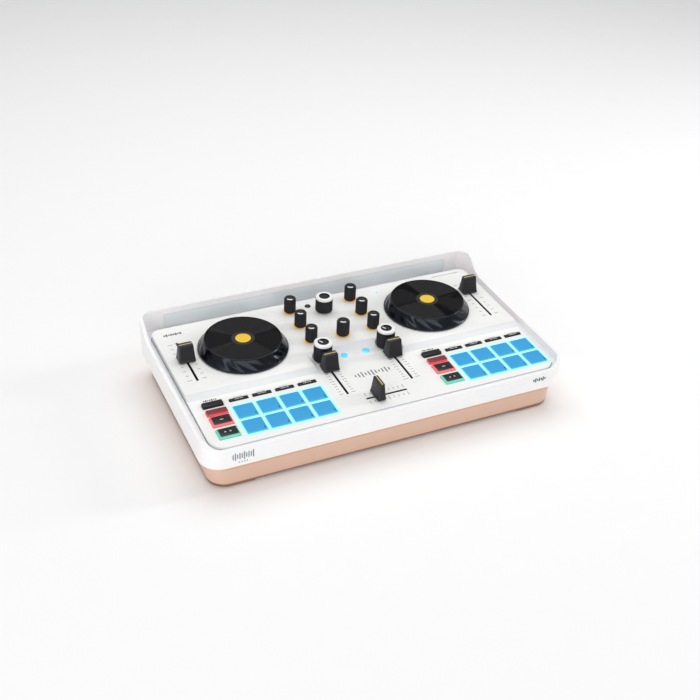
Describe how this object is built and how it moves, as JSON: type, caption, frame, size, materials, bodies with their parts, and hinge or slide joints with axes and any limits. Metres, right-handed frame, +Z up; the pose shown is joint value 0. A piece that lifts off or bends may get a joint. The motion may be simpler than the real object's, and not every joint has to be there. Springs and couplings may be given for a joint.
{
  "type": "dj controller",
  "caption": "Two-deck DJ controller with jog wheels, pads, knobs and faders, resting in a deep translucent stand tray whose raised rear wall props up a phone.",
  "frame": {"origin": "on the table under the middle of the stand tray", "axes": "+X to the player's right along the width, +Y away from the player, +Z up"},
  "size_m": [0.3368, 0.1888, 0.063],
  "materials": {
    "tray_plastic": "clear frosted plastic",
    "foot_rubber": "matte",
    "case_plastic": "satin",
    "panel_plastic": "satin",
    "screw_steel": "zinc plated",
    "board_laminate": "solder mask",
    "battery_wrap": "shrink wrap",
    "board_parts": "moulded",
    "pad_silicone": "translucent satin",
    "key_silicone": "satin",
    "lit_plastic": "translucent",
    "jog_plastic": "gloss",
    "knob_rubber": "ribbed satin",
    "fader_plastic": "satin"
  },
  "bodies": {
    "stand": {"stand_tray": "tray_plastic", "tray_feet": "foot_rubber"},
    "controller": {"bottom_case": "case_plastic", "top_panel": "panel_plastic", "case_screws": "screw_steel", "main_board": "board_laminate", "battery_pack": "battery_wrap", "board_controls": "board_parts"},
    "pad_left_1": {"pad_left_1": "pad_silicone"},
    "pad_left_2": {"pad_left_2": "pad_silicone"},
    "pad_left_3": {"pad_left_3": "pad_silicone"},
    "pad_left_4": {"pad_left_4": "pad_silicone"},
    "pad_left_5": {"pad_left_5": "pad_silicone"},
    "pad_left_6": {"pad_left_6": "pad_silicone"},
    "pad_left_7": {"pad_left_7": "pad_silicone"},
    "pad_left_8": {"pad_left_8": "pad_silicone"},
    "mode_button_left_1": {"mode_button_left_1": "key_silicone"},
    "mode_button_left_2": {"mode_button_left_2": "key_silicone"},
    "mode_button_left_3": {"mode_button_left_3": "key_silicone"},
    "mode_button_left_4": {"mode_button_left_4": "key_silicone"},
    "shift_button_left": {"shift_button_left": "key_silicone"},
    "sync_button_left": {"sync_button_left": "key_silicone"},
    "cue_button_left": {"cue_button_left": "key_silicone"},
    "play_button_left": {"play_button_left": "key_silicone"},
    "jog_wheel_left": {"jog_wheel_left": "jog_plastic"},
    "pitch_fader_left": {"pitch_fader_left": "fader_plastic"},
    "channel_fader_left": {"channel_fader_left": "fader_plastic"},
    "bass_knob_left": {"bass_knob_left": "knob_rubber"},
    "middle_knob_left": {"middle_knob_left": "knob_rubber"},
    "treble_knob_left": {"treble_knob_left": "knob_rubber"},
    "filter_knob_left": {"filter_knob_left": "knob_rubber"},
    "headphone_button_left": {"headphone_button_left": "lit_plastic"},
    "pad_right_1": {"pad_right_1": "pad_silicone"},
    "pad_right_2": {"pad_right_2": "pad_silicone"},
    "pad_right_3": {"pad_right_3": "pad_silicone"},
    "pad_right_4": {"pad_right_4": "pad_silicone"},
    "pad_right_5": {"pad_right_5": "pad_silicone"},
    "pad_right_6": {"pad_right_6": "pad_silicone"},
    "pad_right_7": {"pad_right_7": "pad_silicone"},
    "pad_right_8": {"pad_right_8": "pad_silicone"},
    "mode_button_right_1": {"mode_button_right_1": "key_silicone"},
    "mode_button_right_2": {"mode_button_right_2": "key_silicone"},
    "mode_button_right_3": {"mode_button_right_3": "key_silicone"},
    "mode_button_right_4": {"mode_button_right_4": "key_silicone"},
    "shift_button_right": {"shift_button_right": "key_silicone"},
    "sync_button_right": {"sync_button_right": "key_silicone"},
    "cue_button_right": {"cue_button_right": "key_silicone"},
    "play_button_right": {"play_button_right": "key_silicone"},
    "jog_wheel_right": {"jog_wheel_right": "jog_plastic"},
    "pitch_fader_right": {"pitch_fader_right": "fader_plastic"},
    "channel_fader_right": {"channel_fader_right": "fader_plastic"},
    "bass_knob_right": {"bass_knob_right": "knob_rubber"},
    "middle_knob_right": {"middle_knob_right": "knob_rubber"},
    "treble_knob_right": {"treble_knob_right": "knob_rubber"},
    "filter_knob_right": {"filter_knob_right": "knob_rubber"},
    "headphone_button_right": {"headphone_button_right": "lit_plastic"},
    "volume_knob": {"volume_knob": "knob_rubber"},
    "browse_knob": {"browse_knob": "knob_rubber"},
    "menu_button": {"menu_button": "key_silicone"},
    "crossfader": {"crossfader": "fader_plastic"}
  },
  "joints": [
    {"name": "controller_lift", "type": "slide", "parent": "stand", "child": "controller", "axis": [0, 0, 1], "range_m": [0, 0.07]},
    {"name": "pad_left_1_press", "type": "slide", "parent": "controller", "child": "pad_left_1", "axis": [0, 0, -1], "range_m": [0, 0.001], "stiffness_N_per_m": 600, "springref_m": -0.002},
    {"name": "pad_left_2_press", "type": "slide", "parent": "controller", "child": "pad_left_2", "axis": [0, 0, -1], "range_m": [0, 0.001], "stiffness_N_per_m": 600, "springref_m": -0.002},
    {"name": "pad_left_3_press", "type": "slide", "parent": "controller", "child": "pad_left_3", "axis": [0, 0, -1], "range_m": [0, 0.001], "stiffness_N_per_m": 600, "springref_m": -0.002},
    {"name": "pad_left_4_press", "type": "slide", "parent": "controller", "child": "pad_left_4", "axis": [0, 0, -1], "range_m": [0, 0.001], "stiffness_N_per_m": 600, "springref_m": -0.002},
    {"name": "pad_left_5_press", "type": "slide", "parent": "controller", "child": "pad_left_5", "axis": [0, 0, -1], "range_m": [0, 0.001], "stiffness_N_per_m": 600, "springref_m": -0.002},
    {"name": "pad_left_6_press", "type": "slide", "parent": "controller", "child": "pad_left_6", "axis": [0, 0, -1], "range_m": [0, 0.001], "stiffness_N_per_m": 600, "springref_m": -0.002},
    {"name": "pad_left_7_press", "type": "slide", "parent": "controller", "child": "pad_left_7", "axis": [0, 0, -1], "range_m": [0, 0.001], "stiffness_N_per_m": 600, "springref_m": -0.002},
    {"name": "pad_left_8_press", "type": "slide", "parent": "controller", "child": "pad_left_8", "axis": [0, 0, -1], "range_m": [0, 0.001], "stiffness_N_per_m": 600, "springref_m": -0.002},
    {"name": "mode_button_left_1_press", "type": "slide", "parent": "controller", "child": "mode_button_left_1", "axis": [0, 0, -1], "range_m": [0, 0.001], "stiffness_N_per_m": 400, "springref_m": -0.002},
    {"name": "mode_button_left_2_press", "type": "slide", "parent": "controller", "child": "mode_button_left_2", "axis": [0, 0, -1], "range_m": [0, 0.001], "stiffness_N_per_m": 400, "springref_m": -0.002},
    {"name": "mode_button_left_3_press", "type": "slide", "parent": "controller", "child": "mode_button_left_3", "axis": [0, 0, -1], "range_m": [0, 0.001], "stiffness_N_per_m": 400, "springref_m": -0.002},
    {"name": "mode_button_left_4_press", "type": "slide", "parent": "controller", "child": "mode_button_left_4", "axis": [0, 0, -1], "range_m": [0, 0.001], "stiffness_N_per_m": 400, "springref_m": -0.002},
    {"name": "shift_button_left_press", "type": "slide", "parent": "controller", "child": "shift_button_left", "axis": [0, 0, -1], "range_m": [0, 0.001], "stiffness_N_per_m": 400, "springref_m": -0.002},
    {"name": "sync_button_left_press", "type": "slide", "parent": "controller", "child": "sync_button_left", "axis": [0, 0, -1], "range_m": [0, 0.001], "stiffness_N_per_m": 400, "springref_m": -0.002},
    {"name": "cue_button_left_press", "type": "slide", "parent": "controller", "child": "cue_button_left", "axis": [0, 0, -1], "range_m": [0, 0.001], "stiffness_N_per_m": 400, "springref_m": -0.002},
    {"name": "play_button_left_press", "type": "slide", "parent": "controller", "child": "play_button_left", "axis": [0, 0, -1], "range_m": [0, 0.001], "stiffness_N_per_m": 400, "springref_m": -0.002},
    {"name": "jog_wheel_left_turn", "type": "hinge", "parent": "controller", "child": "jog_wheel_left", "pos_m": [-0.091, 0.0286, 0.05], "axis": [0, 0, 1], "continuous": true},
    {"name": "pitch_fader_left_slide", "type": "slide", "parent": "controller", "child": "pitch_fader_left", "axis": [0, 1, 0], "range_m": [-0.03, 0.0254]},
    {"name": "channel_fader_left_slide", "type": "slide", "parent": "controller", "child": "channel_fader_left", "axis": [0, 1, 0], "range_m": [-0.0364, 0]},
    {"name": "bass_knob_left_turn", "type": "hinge", "parent": "controller", "child": "bass_knob_left", "pos_m": [-0.0305, 0.0182, 0.05], "axis": [0, 0, 1], "range_deg": [-140, 140]},
    {"name": "middle_knob_left_turn", "type": "hinge", "parent": "controller", "child": "middle_knob_left", "pos_m": [-0.0305, 0.0435, 0.05], "axis": [0, 0, 1], "range_deg": [-140, 140]},
    {"name": "treble_knob_left_turn", "type": "hinge", "parent": "controller", "child": "treble_knob_left", "pos_m": [-0.0305, 0.0688, 0.05], "axis": [0, 0, 1], "range_deg": [-140, 140]},
    {"name": "filter_knob_left_turn", "type": "hinge", "parent": "controller", "child": "filter_knob_left", "pos_m": [-0.0305, -0.0077, 0.05], "axis": [0, 0, 1], "range_deg": [-140, 140]},
    {"name": "headphone_button_left_press", "type": "slide", "parent": "controller", "child": "headphone_button_left", "axis": [0, 0, -1], "range_m": [0, 0.001], "stiffness_N_per_m": 400, "springref_m": -0.002},
    {"name": "pad_right_1_press", "type": "slide", "parent": "controller", "child": "pad_right_1", "axis": [0, 0, -1], "range_m": [0, 0.001], "stiffness_N_per_m": 600, "springref_m": -0.002},
    {"name": "pad_right_2_press", "type": "slide", "parent": "controller", "child": "pad_right_2", "axis": [0, 0, -1], "range_m": [0, 0.001], "stiffness_N_per_m": 600, "springref_m": -0.002},
    {"name": "pad_right_3_press", "type": "slide", "parent": "controller", "child": "pad_right_3", "axis": [0, 0, -1], "range_m": [0, 0.001], "stiffness_N_per_m": 600, "springref_m": -0.002},
    {"name": "pad_right_4_press", "type": "slide", "parent": "controller", "child": "pad_right_4", "axis": [0, 0, -1], "range_m": [0, 0.001], "stiffness_N_per_m": 600, "springref_m": -0.002},
    {"name": "pad_right_5_press", "type": "slide", "parent": "controller", "child": "pad_right_5", "axis": [0, 0, -1], "range_m": [0, 0.001], "stiffness_N_per_m": 600, "springref_m": -0.002},
    {"name": "pad_right_6_press", "type": "slide", "parent": "controller", "child": "pad_right_6", "axis": [0, 0, -1], "range_m": [0, 0.001], "stiffness_N_per_m": 600, "springref_m": -0.002},
    {"name": "pad_right_7_press", "type": "slide", "parent": "controller", "child": "pad_right_7", "axis": [0, 0, -1], "range_m": [0, 0.001], "stiffness_N_per_m": 600, "springref_m": -0.002},
    {"name": "pad_right_8_press", "type": "slide", "parent": "controller", "child": "pad_right_8", "axis": [0, 0, -1], "range_m": [0, 0.001], "stiffness_N_per_m": 600, "springref_m": -0.002},
    {"name": "mode_button_right_1_press", "type": "slide", "parent": "controller", "child": "mode_button_right_1", "axis": [0, 0, -1], "range_m": [0, 0.001], "stiffness_N_per_m": 400, "springref_m": -0.002},
    {"name": "mode_button_right_2_press", "type": "slide", "parent": "controller", "child": "mode_button_right_2", "axis": [0, 0, -1], "range_m": [0, 0.001], "stiffness_N_per_m": 400, "springref_m": -0.002},
    {"name": "mode_button_right_3_press", "type": "slide", "parent": "controller", "child": "mode_button_right_3", "axis": [0, 0, -1], "range_m": [0, 0.001], "stiffness_N_per_m": 400, "springref_m": -0.002},
    {"name": "mode_button_right_4_press", "type": "slide", "parent": "controller", "child": "mode_button_right_4", "axis": [0, 0, -1], "range_m": [0, 0.001], "stiffness_N_per_m": 400, "springref_m": -0.002},
    {"name": "shift_button_right_press", "type": "slide", "parent": "controller", "child": "shift_button_right", "axis": [0, 0, -1], "range_m": [0, 0.001], "stiffness_N_per_m": 400, "springref_m": -0.002},
    {"name": "sync_button_right_press", "type": "slide", "parent": "controller", "child": "sync_button_right", "axis": [0, 0, -1], "range_m": [0, 0.001], "stiffness_N_per_m": 400, "springref_m": -0.002},
    {"name": "cue_button_right_press", "type": "slide", "parent": "controller", "child": "cue_button_right", "axis": [0, 0, -1], "range_m": [0, 0.001], "stiffness_N_per_m": 400, "springref_m": -0.002},
    {"name": "play_button_right_press", "type": "slide", "parent": "controller", "child": "play_button_right", "axis": [0, 0, -1], "range_m": [0, 0.001], "stiffness_N_per_m": 400, "springref_m": -0.002},
    {"name": "jog_wheel_right_turn", "type": "hinge", "parent": "controller", "child": "jog_wheel_right", "pos_m": [0.091, 0.0286, 0.05], "axis": [0, 0, 1], "continuous": true},
    {"name": "pitch_fader_right_slide", "type": "slide", "parent": "controller", "child": "pitch_fader_right", "axis": [0, 1, 0], "range_m": [-0.0427, 0.0127]},
    {"name": "channel_fader_right_slide", "type": "slide", "parent": "controller", "child": "channel_fader_right", "axis": [0, 1, 0], "range_m": [-0.0364, 0]},
    {"name": "bass_knob_right_turn", "type": "hinge", "parent": "controller", "child": "bass_knob_right", "pos_m": [0.0305, 0.0182, 0.05], "axis": [0, 0, 1], "range_deg": [-140, 140]},
    {"name": "middle_knob_right_turn", "type": "hinge", "parent": "controller", "child": "middle_knob_right", "pos_m": [0.0305, 0.0435, 0.05], "axis": [0, 0, 1], "range_deg": [-140, 140]},
    {"name": "treble_knob_right_turn", "type": "hinge", "parent": "controller", "child": "treble_knob_right", "pos_m": [0.0305, 0.0688, 0.05], "axis": [0, 0, 1], "range_deg": [-140, 140]},
    {"name": "filter_knob_right_turn", "type": "hinge", "parent": "controller", "child": "filter_knob_right", "pos_m": [0.0305, -0.0077, 0.05], "axis": [0, 0, 1], "range_deg": [-140, 140]},
    {"name": "headphone_button_right_press", "type": "slide", "parent": "controller", "child": "headphone_button_right", "axis": [0, 0, -1], "range_m": [0, 0.001], "stiffness_N_per_m": 400, "springref_m": -0.002},
    {"name": "volume_knob_turn", "type": "hinge", "parent": "controller", "child": "volume_knob", "pos_m": [0, 0.0173, 0.05], "axis": [0, 0, 1], "range_deg": [-140, 140]},
    {"name": "browse_knob_turn", "type": "hinge", "parent": "controller", "child": "browse_knob", "pos_m": [0, 0.0601, 0.05], "axis": [0, 0, 1], "continuous": true},
    {"name": "menu_button_press", "type": "slide", "parent": "controller", "child": "menu_button", "axis": [0, 0, -1], "range_m": [0, 0.001], "stiffness_N_per_m": 400, "springref_m": -0.002},
    {"name": "crossfader_slide", "type": "slide", "parent": "controller", "child": "crossfader", "axis": [1, 0, 0], "range_m": [-0.0086, 0.025]}
  ]
}
